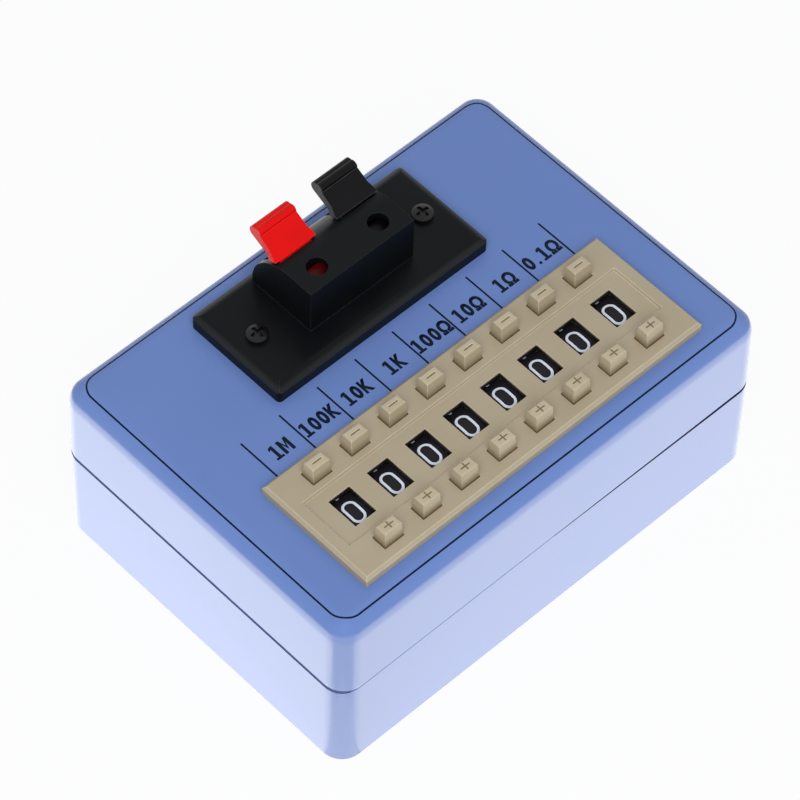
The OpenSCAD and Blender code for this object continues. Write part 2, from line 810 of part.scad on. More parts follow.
// Sprung lever: hub on two stub pivots, a gate under the wire hole, a stem
// through the hump's slot and a flared finger tab with a lip at its tip
module lever(side) {
    lip_r = 0.8;
    flare_u = shell_r + 0.4;
    flare_l = 1.5;
    neck = 0.2;
    tab_mid = tab_lift - tab_t / 2;
    pivot_l = pocket_l - slide_gap;
    translate([side * lever_x, pivot_y, pivot_z]) {
        rod_x(hub_r, stem_w);
        rod_x(pivot_r, chamber_w + 2 * pivot_l);
        along_x(0, stem_w) sector(shell_r + 2 * slide_gap, stem_low_angle, stem_high_angle);
        along_x(0, gate_w) sector(chamber_r - 2 * clear_gap, gate_low_angle, gate_high_angle);
        intersection() {
            along_x(0, tab_base_w) difference() {
                rotate(tab_angle) {
                    polygon([
                        [tab_mid, tab_lift], [tab_mid, tab_lift - tab_t], [flare_u, tab_lift - waist_t],
                        [tab_reach, tab_lift - tab_t], [tab_reach, tab_lift]
                    ]);
                    translate([tab_reach, tab_mid]) circle(r = tab_t / 2);
                    translate([tab_reach - lip_r / 2, tab_lift - lip_r / 3]) circle(r = lip_r);
                }
                circle(r = shell_r);
            }
            rotate([tab_angle, 0, 0]) linear_extrude(4 * tab_lift, center = true) polygon([
                [-tab_base_w / 2, 0], [tab_base_w / 2, 0], [tab_base_w / 2, flare_u - flare_l],
                [tab_tip_w / 2 + neck, flare_u], [tab_tip_w / 2, tab_reach + tab_t],
                [-tab_tip_w / 2, tab_reach + tab_t], [-tab_tip_w / 2 - neck, flare_u],
                [-tab_base_w / 2, flare_u - flare_l]
            ]);
        }
    }
}

module red_lever() {
    color(lever_red) lever(-1);
}

module black_lever() {
    color(terminal_black) lever(1);
}

// Bent leaf that stands on the lid and holds the lever's stem up
module lever_spring(side) {
    leaf_t = 0.35;
    leaf_w = 3;
    riser_y = 3.2;
    foot_l = 2.4;
    riser_top = riser_y * tan(stem_low_angle) - slide_gap;
    color(steel_grey) translate([0, pivot_y, pivot_z]) along_x(side * lever_x, leaf_w) {
        translate([riser_y, case_h - pivot_z]) square([leaf_t, riser_top + pivot_z - case_h]);
        translate([riser_y, case_h - pivot_z]) square([foot_l, leaf_t]);
    }
}

// Contact strip behind the hump's front wall, bent into a solder pad below
module contact_strip(side) {
    strip_top = pivot_z + chamber_r - 2 * clear_gap;
    color(bronze) along_x(side * lever_x, strip_w) {
        translate([strip_y, pad_z]) square([strip_t, strip_top - pad_z]);
        translate([strip_y, pad_z]) square([pad_l, strip_t]);
    }
}

// Inside lead from a contact's solder pad down to the resistor board
module inside_lead(side) {
    bend_z = lead_z + lead_bend;
    translate([side * lever_x, lead_y, 0]) {
        translate([0, 0, bend_z]) cylinder(r = lead_r, h = pad_z - bend_z);
        translate([0, -lead_bend, bend_z]) rotate([90, 0, 90]) rotate([0, 0, -90])
            rotate_extrude(angle = 90) translate([lead_bend, 0]) circle(r = lead_r);
        translate([0, -lead_bend, lead_z]) rotate([90, 0, 0])
            cylinder(r = lead_r, h = lead_y - lead_bend - lead_end_y);
    }
}

// Boards

module resistor_board() {
    board_half_w = end_outer_x - 2 * slide_gap;
    slot_w = code_board_t + 2 * slide_gap;
    slot_d = 2 * (tab_half_y + slide_gap);
    color(board_green) difference() {
        block([-board_half_w, board_front_y, board_top - board_t], [board_half_w, board_back_y, board_top]);
        for (k = [1:modules])
            translate([module_x(k) - module_inner / 2 + code_board_t / 2, bank_y, board_top])
                cube([slot_w, slot_d, 4 * board_t], center = true);
    }
}

// Four chips for each decade, under the board
module resistors() {
    row_y = 2.4;
    chip_x = 1;
    color(drum_black) for (k = [1:modules], j = [0:3])
        translate([module_x(k) + chip_x, bank_y + (j - 1.5) * row_y, board_top - board_t - chip_h / 2])
            cube([chip_l, chip_w, chip_h], center = true);
}

base();
lid();
base_screws();
switch_bezel();
end_plate(-1);  // left_end_plate
end_plate(1);  // right_end_plate
divider_plates();
wheel_axle();
tie_rods();
tie_nuts();
code_boards();
detent_springs();
for (k = [1:modules]) {
    digit_wheel(k);
    contact_brush(k);
    push_button(k, 1);
    push_button(k, -1);
}
terminal_body();
terminal_screws();
terminal_nuts();
red_lever();
black_lever();
lever_spring(-1);  // red_lever_spring
lever_spring(1);  // black_lever_spring
contact_strip(-1);  // red_contact
contact_strip(1);  // black_contact
color(lever_red) inside_lead(-1);  // red_wire
color(terminal_black) inside_lead(1);  // black_wire
resistor_board();
resistors();
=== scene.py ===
import json
import math

import bpy
from mathutils import Matrix, Vector

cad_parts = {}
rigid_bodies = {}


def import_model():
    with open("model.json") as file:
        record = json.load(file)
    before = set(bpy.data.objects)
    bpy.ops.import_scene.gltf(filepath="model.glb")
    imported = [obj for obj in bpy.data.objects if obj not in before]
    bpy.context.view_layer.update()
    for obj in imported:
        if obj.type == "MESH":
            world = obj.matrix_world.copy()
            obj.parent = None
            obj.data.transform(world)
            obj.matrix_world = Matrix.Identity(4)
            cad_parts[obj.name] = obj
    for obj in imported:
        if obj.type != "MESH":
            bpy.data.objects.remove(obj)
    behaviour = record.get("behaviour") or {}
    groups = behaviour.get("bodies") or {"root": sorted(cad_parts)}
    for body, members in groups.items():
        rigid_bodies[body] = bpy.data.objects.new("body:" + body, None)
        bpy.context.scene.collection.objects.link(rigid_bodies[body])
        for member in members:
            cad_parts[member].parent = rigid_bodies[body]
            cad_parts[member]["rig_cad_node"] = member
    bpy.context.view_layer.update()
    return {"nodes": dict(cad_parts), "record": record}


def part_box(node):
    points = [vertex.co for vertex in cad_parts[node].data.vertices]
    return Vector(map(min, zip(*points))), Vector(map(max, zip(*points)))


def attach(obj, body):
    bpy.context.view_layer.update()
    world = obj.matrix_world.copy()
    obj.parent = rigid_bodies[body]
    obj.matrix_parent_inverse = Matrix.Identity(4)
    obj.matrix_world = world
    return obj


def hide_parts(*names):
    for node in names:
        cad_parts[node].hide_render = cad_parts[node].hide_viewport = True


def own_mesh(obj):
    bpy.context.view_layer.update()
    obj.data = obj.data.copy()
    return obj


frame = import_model()
nodes = frame["nodes"]
mm = 0.001
print("frame loaded:", len(nodes), "nodes")


# small helpers for working as by hand

def deselectAll():
    if bpy.context.mode != "OBJECT":
        bpy.ops.object.mode_set(mode="OBJECT")
    bpy.ops.object.select_all(action="DESELECT")


def pickOnly(obj):
    deselectAll()
    obj.select_set(True)
    bpy.context.view_layer.objects.active = obj


def applyModifier(obj, kind, **settings):
    pickOnly(obj)
    modifier = obj.modifiers.new(kind.lower(), kind)
    for key, value in settings.items():
        setattr(modifier, key, value)
    bpy.ops.object.modifier_apply(modifier=modifier.name)


def applyPlace(obj):
    pickOnly(obj)
    bpy.ops.object.transform_apply(location=True, rotation=True, scale=True)


def joinPieces(pieces, name):
    deselectAll()
    for piece in pieces:
        piece.select_set(True)
    bpy.context.view_layer.objects.active = pieces[0]
    bpy.ops.object.join()
    joined = bpy.context.active_object
    joined.name = name
    joined.data.name = name
    applyPlace(joined)
    return joined


def meshBox(obj):
    low = Vector(min(v.co[i] for v in obj.data.vertices) for i in range(3))
    high = Vector(max(v.co[i] for v in obj.data.vertices) for i in range(3))
    return low, high


# shader node groups that several finishes share

noiseReach = (0.3, 0.7)  # where most values of a noise lie


def link(tree, source, target):
    tree.links.new(source, target)


def newGroup(name, inputs, outputs):
    group = bpy.data.node_groups.new(name, "ShaderNodeTree")
    for label, value in inputs.items():
        socket = group.interface.new_socket(name=label, in_out="INPUT", socket_type="NodeSocketFloat")
        socket.default_value = value
    for label in outputs:
        group.interface.new_socket(name=label, in_out="OUTPUT", socket_type="NodeSocketFloat")
    return group, group.nodes.new("NodeGroupInput"), group.nodes.new("NodeGroupOutput")


def noiseNode(tree, vector, scale, detail, roughness):
    noise = tree.nodes.new("ShaderNodeTexNoise")
    noise.inputs["Detail"].default_value = detail
    noise.inputs["Roughness"].default_value = roughness
    link(tree, vector, noise.inputs["Vector"])
    link(tree, scale, noise.inputs["Scale"])
    return noise.outputs["Fac"]


def spreadNode(tree, source, low, high, reach=noiseReach):
    spread = tree.nodes.new("ShaderNodeMapRange")
    spread.inputs["From Min"].default_value, spread.inputs["From Max"].default_value = reach
    spread.inputs["To Min"].default_value = low
    spread.inputs["To Max"].default_value = high
    link(tree, source, spread.inputs["Value"])
    return spread.outputs["Result"]


def mathNode(tree, operation, first, second):
    node = tree.nodes.new("ShaderNodeMath")
    node.operation = operation
    link(tree, first, node.inputs[0])
    link(tree, second, node.inputs[1])
    return node.outputs["Value"]


def attributeNode(tree, name):
    node = tree.nodes.new("ShaderNodeAttribute")
    node.attribute_name = name
    return node.outputs["Fac"]


# one axis of the Object or Normal coordinates
def axisNode(tree, coordinates, axis):
    place = tree.nodes.new("ShaderNodeTexCoord")
    axes = tree.nodes.new("ShaderNodeSeparateXYZ")
    link(tree, place.outputs[coordinates], axes.inputs["Vector"])
    return axes.outputs[axis]


# fine texture of a moulded part, with slow clouds of flow over it
def mouldedGroup():
    scales = {"Grain Scale": 3000, "Cloud Scale": 60}
    group, start, end = newGroup("mouldedSurface", scales, ["Height", "Cloud"])
    place = group.nodes.new("ShaderNodeTexCoord").outputs["Object"]
    grain = noiseNode(group, place, start.outputs["Grain Scale"], detail=3, roughness=0.6)
    cloud = noiseNode(group, place, start.outputs["Cloud Scale"], detail=4, roughness=0.55)
    link(group, grain, end.inputs["Height"])
    link(group, spreadNode(group, cloud, 0, 1), end.inputs["Cloud"])
    return group


# long fine scratches along X, as on drawn or rolled metal
def drawnGroup():
    scales = {"Line Scale": 900, "Cloud Scale": 200}
    group, start, end = newGroup("drawnMetal", scales, ["Lines", "Cloud"])
    place = group.nodes.new("ShaderNodeTexCoord").outputs["Object"]
    stretch = group.nodes.new("ShaderNodeMapping")
    stretch.inputs["Scale"].default_value = (0.06, 1, 1)  # spots drawn out into lines
    link(group, place, stretch.inputs["Vector"])
    lines = noiseNode(group, stretch.outputs["Vector"], start.outputs["Line Scale"], detail=3, roughness=0.6)
    cloud = noiseNode(group, place, start.outputs["Cloud Scale"], detail=3, roughness=0.5)
    link(group, spreadNode(group, lines, 0, 1), end.inputs["Lines"])
    link(group, spreadNode(group, cloud, 0, 1), end.inputs["Cloud"])
    return group


# painted highlight: paler eased rims, broken up a little
def rubbedGroup():
    group, start, end = newGroup("paintedEdgeHighlight", {"Break Scale": 900, "Amount": 1}, ["Mask"])
    place = group.nodes.new("ShaderNodeTexCoord").outputs["Object"]
    breaks = noiseNode(group, place, start.outputs["Break Scale"], detail=2, roughness=0.5)
    highlightMask = mathNode(group, "MULTIPLY", attributeNode(group, "easedRim"), spreadNode(group, breaks, 0.55, 1))
    link(group, mathNode(group, "MULTIPLY", highlightMask, start.outputs["Amount"]), end.inputs["Mask"])
    return group


mouldedSurface = mouldedGroup()
drawnMetal = drawnGroup()
paintedEdgeHighlight = rubbedGroup()


# finishes

grainDepth = 0.03 * mm
lineDepth = 0.01 * mm


def rgb(red, green, blue):
    def linear(value):
        value /= 255
        return value / 12.92 if value <= 0.04045 else ((value + 0.055) / 1.055) ** 2.4
    return (linear(red), linear(green), linear(blue), 1)


def startFinish(name, group, values):
    material = bpy.data.materials.new(name)
    material.use_nodes = True
    tree = material.node_tree
    surface = tree.nodes.new("ShaderNodeGroup")
    surface.node_tree = group
    for key, value in values.items():
        surface.inputs[key].default_value = value
    return material, tree, tree.nodes["Principled BSDF"], surface


def mixColour(tree, mask, first, second):
    mix = tree.nodes.new("ShaderNodeMix")
    mix.data_type = "RGBA"
    for socket, colour in (("A", first), ("B", second)):
        if isinstance(colour, tuple):
            mix.inputs[socket].default_value = colour
        else:
            link(tree, colour, mix.inputs[socket])
    link(tree, mask, mix.inputs["Factor"])
    return mix.outputs["Result"]


def bumpNode(tree, height, strength, distance):
    bump = tree.nodes.new("ShaderNodeBump")
    bump.inputs["Strength"].default_value = strength
    bump.inputs["Distance"].default_value = distance
    link(tree, height, bump.inputs["Height"])
    return bump.outputs["Normal"]


# plastic: two close shades, satin to gloss, with a fine grain
def plasticFinish(name, look):
    scales = {"Grain Scale": look["grain"], "Cloud Scale": look["cloud"]}
    material, tree, shader, surface = startFinish(name, mouldedSurface, scales)
    cloud = surface.outputs["Cloud"]
    colour = mixColour(tree, cloud, rgb(*look["shade"]), rgb(*look["tint"]))
    if "rim" in look:  # painted highlight on the eased edges
        edgeHighlight = tree.nodes.new("ShaderNodeGroup")
        edgeHighlight.node_tree = paintedEdgeHighlight
        edgeHighlight.inputs["Amount"].default_value = look["rimAmount"]
        colour = mixColour(tree, edgeHighlight.outputs["Mask"], colour, rgb(*look["rim"]))
    if "grime" in look:  # painted shade where a lever enters the terminal and at the foot of a button by the bezel
        depth = spreadNode(tree, axisNode(tree, "Object", look["grimeAxis"]), 0, 1,
                           reach=(look["grimeTo"] * mm, look["grimeFrom"] * mm))
        colour = mixColour(tree, depth, colour, rgb(*look["grime"]))
    if "dark" in look:  # painted shade in the seam between lid and base, black lining in the windows
        colour = mixColour(tree, attributeNode(tree, "darkFaces"), colour, rgb(*look["dark"]))
    link(tree, colour, shader.inputs["Base Color"])
    rough = spreadNode(tree, cloud, look["rough"][0], look["rough"][1], reach=(0, 1))
    link(tree, rough, shader.inputs["Roughness"])
    link(tree, bumpNode(tree, surface.outputs["Height"], look["bump"], grainDepth), shader.inputs["Normal"])
    shader.inputs["Specular IOR Level"].default_value = look["specular"]
    if "coatSteps" in look:  # polished where it faces a given way, such as the upright walls
        ramp = tree.nodes.new("ShaderNodeValToRGB")
        stops = ramp.color_ramp.elements
        for place, weight in look["coatSteps"]:
            stops.new(place).color = (weight, weight, weight, 1)
        stops.remove(stops[0])
        stops.remove(stops[len(stops) - 1])
        link(tree, axisNode(tree, "Normal", "Z"), ramp.inputs["Fac"])
        link(tree, ramp.outputs["Color"], shader.inputs["Coat Weight"])
        shader.inputs["Coat IOR"].default_value = look["coatIor"]
        shader.inputs["Coat Roughness"].default_value = look["coatRough"]
    return material


# metal: drawn lines in the colour and the roughness
def metalFinish(name, look):
    scales = {"Line Scale": look["lines"], "Cloud Scale": look["cloud"]}
    material, tree, shader, surface = startFinish(name, drawnMetal, scales)
    lines = surface.outputs["Lines"]
    link(tree, mixColour(tree, lines, rgb(*look["shade"]), rgb(*look["tint"])), shader.inputs["Base Color"])
    rough = spreadNode(tree, surface.outputs["Cloud"], look["rough"][0], look["rough"][1])
    link(tree, rough, shader.inputs["Roughness"])
    link(tree, bumpNode(tree, lines, look["bump"], lineDepth), shader.inputs["Normal"])
    shader.inputs["Metallic"].default_value = look["metallic"]
    return material


# circuit board: green mask with paler tracks
def boardFinish(name, look):
    material = plasticFinish(name, look)
    tree = material.node_tree
    shader = tree.nodes["Principled BSDF"]
    place = tree.nodes.new("ShaderNodeTexCoord")
    tracks = tree.nodes.new("ShaderNodeTexBrick")
    tracks.inputs["Color1"].default_value = rgb(*look["shade"])
    tracks.inputs["Color2"].default_value = rgb(*look["tint"])
    tracks.inputs["Mortar"].default_value = rgb(*look["track"])
    tracks.inputs["Scale"].default_value = look["trackScale"]
    tracks.inputs["Mortar Size"].default_value = look["trackWidth"]
    link(tree, place.outputs["Object"], tracks.inputs["Vector"])
    link(tree, tracks.outputs["Color"], shader.inputs["Base Color"])
    return material


plasticLooks = {
    # case_blue's dark colour is painted shade in the seam between lid and base
    "case_blue": {"shade": (99, 125, 184), "tint": (103, 129, 188), "rough": (0.38, 0.44), "specular": 0.36,
                  "grain": 2600, "cloud": 40, "bump": 0.06, "coatIor": 1.9, "coatRough": 0.27,
                  "coatSteps": ((0.43, 1), (0.47, 0.35), (0.52, 0)), "dark": (30, 35, 74)},
    # rim: painted highlight on the eased edges, here and in the looks below
    "panel_beige": {"shade": (166, 153, 128), "tint": (172, 160, 136), "rough": (0.44, 0.52), "specular": 0.4,
                    "grain": 3200, "cloud": 90, "bump": 0.08, "rim": (206, 194, 168), "rimAmount": 0.8,
                    "dark": (30, 27, 26)},
    # painted shade darkens the foot of each button, towards the bezel
    "button_beige": {"shade": (178, 165, 137), "tint": (186, 174, 147), "rough": (0.4, 0.48), "specular": 0.4,
                     "grain": 3200, "cloud": 160, "bump": 0.06, "rim": (222, 210, 184), "rimAmount": 0.9,
                     "grime": (126, 108, 80), "grimeAxis": "Z", "grimeFrom": 37.3, "grimeTo": 39.4},
    "drum_black": {"shade": (24, 22, 26), "tint": (31, 29, 34), "rough": (0.5, 0.62), "specular": 0.2,
                   "grain": 3000, "cloud": 200, "bump": 0.08},
    "terminal_black": {"shade": (8, 11, 13), "tint": (11, 14, 16), "rough": (0.32, 0.42), "specular": 0.11,
                       "grain": 2400, "cloud": 110, "bump": 0.12, "rim": (84, 90, 96), "rimAmount": 0.7,
                       "coatIor": 1.5, "coatRough": 0.4,
                       "coatSteps": ((0.74, 0), (0.8, 0.3), (0.9, 0.3), (0.96, 0))},
    # painted shade darkens the gate under the wire hole, on both levers
    "lever_red": {"shade": (214, 8, 8), "tint": (226, 13, 11), "rough": (0.3, 0.38), "specular": 0.15,
                  "grain": 3000, "cloud": 180, "bump": 0.05, "rim": (244, 70, 58), "rimAmount": 0.6,
                  "grime": (72, 4, 6), "grimeAxis": "Y", "grimeFrom": 18.6, "grimeTo": 19.4},
    "lever_black": {"shade": (8, 8, 10), "tint": (12, 12, 14), "rough": (0.28, 0.36), "specular": 0.13,
                    "grain": 3000, "cloud": 180, "bump": 0.05, "rim": (96, 96, 100), "rimAmount": 0.6,
                    "grime": (5, 5, 7), "grimeAxis": "Y", "grimeFrom": 18.6, "grimeTo": 19.4},
    "lead_red": {"shade": (170, 24, 22), "tint": (184, 34, 30), "rough": (0.4, 0.5), "specular": 0.4,
                 "grain": 3500, "cloud": 200, "bump": 0.05},
    "lead_black": {"shade": (22, 22, 24), "tint": (30, 30, 32), "rough": (0.4, 0.5), "specular": 0.4,
                   "grain": 3500, "cloud": 200, "bump": 0.05},
    "chip_black": {"shade": (26, 26, 28), "tint": (36, 36, 38), "rough": (0.45, 0.6), "specular": 0.4,
                   "grain": 4000, "cloud": 600, "bump": 0.06},
}
metalLooks = {
    "steel": {"shade": (150, 152, 156), "tint": (186, 188, 192), "rough": (0.26, 0.4), "metallic": 1,
              "lines": 2500, "cloud": 300, "bump": 0.15},
    "bronze": {"shade": (184, 136, 70), "tint": (206, 160, 92), "rough": (0.24, 0.38), "metallic": 1,
               "lines": 2500, "cloud": 300, "bump": 0.12},
    "screw_black": {"shade": (12, 12, 14), "tint": (24, 24, 26), "rough": (0.28, 0.4), "metallic": 0.45,
                    "lines": 2500, "cloud": 400, "bump": 0.1},
}
boardLook = {"shade": (22, 84, 50), "tint": (26, 92, 56), "track": (52, 124, 74), "trackScale": 260,
             "trackWidth": 0.06, "rough": (0.3, 0.4), "specular": 0.5,
             "grain": 3000, "cloud": 200, "bump": 0.05}
inkAndShadeLooks = {
    "printInk": {"shade": (5, 18, 36), "tint": (10, 26, 46), "rough": (0.5, 0.62), "specular": 0.12,
                 "grain": 5000, "cloud": 500, "bump": 0.05},
    # painted shade in the engraved signs: the buttons' beige, darkened
    "signGrooveShade": {"shade": (112, 100, 74), "tint": (124, 112, 86), "rough": (0.5, 0.62), "specular": 0.25,
                "grain": 5000, "cloud": 500, "bump": 0.05},
    "digitInk": {"shade": (214, 222, 236), "tint": (228, 234, 246), "rough": (0.5, 0.6), "specular": 0.3,
                 "grain": 5000, "cloud": 500, "bump": 0.05},
}

finishes = {slot: plasticFinish(slot, look) for slot, look in plasticLooks.items()}
finishes.update({slot: metalFinish(slot, look) for slot, look in metalLooks.items()})
finishes["board_green"] = boardFinish("board_green", boardLook)
inksAndShade = {name: plasticFinish(name, look) for name, look in inkAndShadeLooks.items()}


def giveFinish(obj, material):
    obj.data.materials.clear()
    obj.data.materials.append(material)


slotOf = {part["node"]: part["material_slot"] for part in frame["record"]["subparts"]}
for nodeName, node in nodes.items():
    giveFinish(node, finishes[slotOf[nodeName]])
print("finishes given:", len(finishes) + len(inksAndShade))


# moulded pieces with their sharp edges eased, each standing for its CAD node

bodyOf = {name: body for body, names in frame["record"]["behaviour"]["bodies"].items() for name in names}
modules = {"count": 8, "first": -28, "pitch": 8, "middle": -16}  # the switch modules along the bank
touch = 0.01  # mm, closer than this is the same place
easedEdges = {"lid": 0.1, "base": 0.1, "switch_bezel": 0.12, "terminal_body": 0.2,
              "red_lever": 0.18, "black_lever": 0.18}
easedEdges.update({sign + "_button_" + str(k): 0.16 for sign in ("minus", "plus")
                   for k in range(1, modules["count"] + 1)})
easing = {"merge": 0.002, "flat": 0.5, "sharp": 40, "smooth": 35, "steps": 3}


def moduleX(k):
    return modules["first"] + k * modules["pitch"]


# picks the edges that a test of their middle point accepts
def pickEdges(obj, test):
    bpy.ops.mesh.select_mode(type="EDGE")
    bpy.ops.mesh.select_all(action="DESELECT")
    bpy.ops.object.mode_set(mode="OBJECT")
    for edge in obj.data.edges:
        first, second = (obj.data.vertices[i].co for i in edge.vertices)
        edge.select = test((first + second) / 2 / mm)
    bpy.ops.object.mode_set(mode="EDIT")


# notes the rows of points inside the eased edges, for the painted edge highlight
def markRims(obj):
    faces = obj.data.polygons
    flat = {v for face in faces if face.material_index == 0 for v in face.vertices}
    rim = obj.data.attributes.new("easedRim", "FLOAT", "POINT")
    for v in obj.data.vertices:
        rim.data[v.index].value = 0 if v.index in flat else 1
    for face in faces:
        face.material_index = 0
    obj.data.materials.pop(index=1)


# the case's round corners turn about a core, and its outer rim lies past the reach
seam = {"coreX": 41.4, "coreY": 28.6, "reach": 3.8, "rim": 19.2, "frontY": -28, "cuts": (0, 9, 18, 27, 36),
        "ends": 0.3, "endsFrom": 42, "endsTo": 44.5, "front": 0.55, "frontFrom": 0, "frontTo": 36}
# where the seam between lid and base gets painted shade
seamShade = {"from": 19.27, "fromOpened": 18.5, "to": 21.9, "tilt": 0.2,
             "endsX": 43, "frontX": -1, "cornerX": 35.9}


# how far out a point is from the core
def cornerReach(p):
    return math.hypot(max(abs(p.x) - seam["coreX"], 0), max(abs(p.y) - seam["coreY"], 0))


# 0 where a dip starts, 1 where it is whole
def dipShare(value, start, end):
    return min(max((value - start) / (end - start), 0), 1)


# lowers the base's outer rim at both ends, and along the front towards the right
def dipSeam(obj):
    for x in seam["cuts"]:
        bpy.ops.mesh.select_all(action="SELECT")
        bpy.ops.mesh.bisect(plane_co=(x * mm, 0, 0), plane_no=(1, 0, 0))
    bpy.ops.object.mode_set(mode="OBJECT")
    for v in obj.data.vertices:
        p = v.co / mm
        if p.z > seam["rim"] and cornerReach(p) > seam["reach"]:
            ends = dipShare(abs(p.x), seam["endsFrom"], seam["endsTo"]) * seam["ends"]
            front = dipShare(p.x, seam["frontFrom"], seam["frontTo"]) * seam["front"]
            v.co.z -= max(ends, front if p.y < seam["frontY"] else 0) * mm
    bpy.ops.object.mode_set(mode="EDIT")


# notes the faces that a test accepts, for the dark colour: painted shade in the seam, the black lining in the
# windows
def markDark(obj, test):
    dark = obj.data.attributes.new("darkFaces", "FLOAT", "FACE")
    for face in obj.data.polygons:
        points = [obj.data.vertices[i].co / mm for i in face.vertices]
        dark.data[face.index].value = 1 if test(points, abs(face.normal.z)) else 0


# inside the seam between lid and base, which starts lower where it is open: these faces get painted shade
def inSeam(points, tilt):
    opened = (all(abs(p.x) > seamShade["endsX"] for p in points)
              or all(p.x > seamShade["frontX"] and p.y < seam["frontY"] for p in points)
              or all(p.x > seamShade["cornerX"] for p in points))
    lowest = seamShade["fromOpened"] if opened else seamShade["from"]
    between = all(lowest < p.z < seamShade["to"] for p in points)
    within = all(cornerReach(p) < seam["reach"] for p in points)
    return between and (within or tilt > seamShade["tilt"])


windows = {"width": 4.4, "depth": 6.2, "lining": 36.75, "slack": 0.02, "tilt": 0.5}


# on the lower part of the window walls, where the switch's black lining shows
def inWindow(points, tilt):
    half = modules["pitch"] / 2
    low = all(p.z < windows["lining"] + touch for p in points)
    inside = all(abs(p.y - modules["middle"]) < windows["depth"] / 2 + windows["slack"] and
                 abs((p.x - modules["first"] + half) % modules["pitch"] - half)
                 < windows["width"] / 2 + windows["slack"] for p in points)
    return low and inside and tilt < windows["tilt"]


signArea = {"x": 1.1, "y": 0.9, "deep": 0.3}


# leaves the engraved sign on a button's top crisp
def dropSignEdges(obj):
    bpy.ops.object.mode_set(mode="OBJECT")
    top = meshBox(obj)[1].z
    corners = [v.co for v in obj.data.vertices if v.co.z > top - touch * mm]
    middle = sum(corners, Vector()) / len(corners)
    for edge in obj.data.edges:
        first, second = (obj.data.vertices[i].co for i in edge.vertices)
        spot = ((first + second) / 2 - middle) / mm
        if abs(spot.x) < signArea["x"] and abs(spot.y) < signArea["y"] and spot.z > -signArea["deep"]:
            edge.select = False
    bpy.ops.object.mode_set(mode="EDIT")


def easedCopy(nodeName, width):
    pickOnly(nodes[nodeName])
    bpy.ops.object.duplicate()
    copy = bpy.context.active_object
    copy.name = nodeName + "_eased"
    copy.data.name = copy.name
    copy.parent = None
    del copy["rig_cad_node"]
    bpy.ops.object.mode_set(mode="EDIT")
    bpy.ops.mesh.select_all(action="SELECT")
    bpy.ops.mesh.remove_doubles(threshold=easing["merge"] * mm)
    bpy.ops.mesh.dissolve_limited(angle_limit=math.radians(easing["flat"]))
    bpy.ops.mesh.select_mode(type="EDGE")
    if nodeName == "base":
        dipSeam(copy)
    if nodeName == "switch_bezel":
        bpy.ops.mesh.select_all(action="SELECT")
        bpy.ops.mesh.bisect(plane_co=(0, 0, windows["lining"] * mm), plane_no=(0, 0, 1))
    bpy.ops.mesh.select_all(action="DESELECT")
    bpy.ops.mesh.edges_select_sharp(sharpness=math.radians(easing["sharp"]))
    if "_button_" in nodeName:
        dropSignEdges(copy)
    bpy.ops.transform.edge_bevelweight(value=1)
    bpy.ops.object.mode_set(mode="OBJECT")
    copy.data.materials.append(copy.data.materials[0])
    applyModifier(copy, "BEVEL", width=width * mm, segments=easing["steps"], limit_method="WEIGHT",
                  use_clamp_overlap=True, material=1)
    markRims(copy)
    if nodeName in ("lid", "base"):
        markDark(copy, inSeam)
    if nodeName == "switch_bezel":
        markDark(copy, inWindow)
    bpy.ops.object.shade_smooth_by_angle(angle=math.radians(easing["smooth"]))
    applyModifier(copy, "WEIGHTED_NORMAL", weight=100, keep_sharp=True)
    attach(copy, bodyOf[nodeName])
    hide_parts(nodeName)
    return copy


easedPieces = {nodeName: easedCopy(nodeName, width) for nodeName, width in easedEdges.items()}
print("edges eased:", len(easedEdges))


# bent leaves under the levers

leaves = {"thick": 0.35, "bow": 1.1, "curl": 0.45, "steps": 12, "keep": 0.66}


def leverLeaf(nodeName):
    low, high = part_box(nodeName)
    middle = (low + high) / 2
    deselectAll()
    bpy.ops.mesh.primitive_plane_add(size=1, location=(middle.x, middle.y, low.z))
    leaf = bpy.context.active_object
    leaf.name = nodeName + "_leaf"
    leaf.data.name = leaf.name
    leaf.scale = (high.x - low.x, high.y - low.y, 1)
    applyPlace(leaf)
    bpy.ops.object.mode_set(mode="EDIT")
    pickEdges(leaf, lambda p: p.y * mm < low.y + touch * mm)
    bow = [leaves["bow"] * math.sin(math.pi * i / leaves["steps"]) * mm for i in range(leaves["steps"] + 1)]
    rise = (high.z - low.z) / leaves["steps"]
    for i in range(leaves["steps"]):
        bpy.ops.mesh.extrude_region_move(TRANSFORM_OT_translate={"value": (0, bow[i + 1] - bow[i], rise)})
    bpy.ops.mesh.extrude_region_move(TRANSFORM_OT_translate={"value": (0, leaves["curl"] * mm, 0)})
    bpy.ops.object.mode_set(mode="OBJECT")
    applyModifier(leaf, "SOLIDIFY", thickness=leaves["thick"] * mm, offset=1, use_even_offset=True)
    bpy.ops.object.shade_smooth_by_angle(angle=math.radians(easing["smooth"]))
    giveFinish(leaf, finishes[slotOf[nodeName]])
    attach(leaf, bodyOf[nodeName])
    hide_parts(nodeName)
    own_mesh(leaf)


for lever in ("red_lever", "black_lever"):
    leverLeaf(lever + "_spring")
print("lever leaves bent")


# flat printing on the lid

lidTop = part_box("lid")[1].z
inkDepth = 0.03 * mm
inkMerge = 0.003 * mm


def raiseInk(obj, name, sheetFinish="printInk", body="case", depth=inkDepth):
    applyModifier(obj, "SOLIDIFY", thickness=depth, offset=1)
    obj.name = name
    obj.data.name = name
    giveFinish(obj, inksAndShade[sheetFinish])
    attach(obj, body)
    return obj


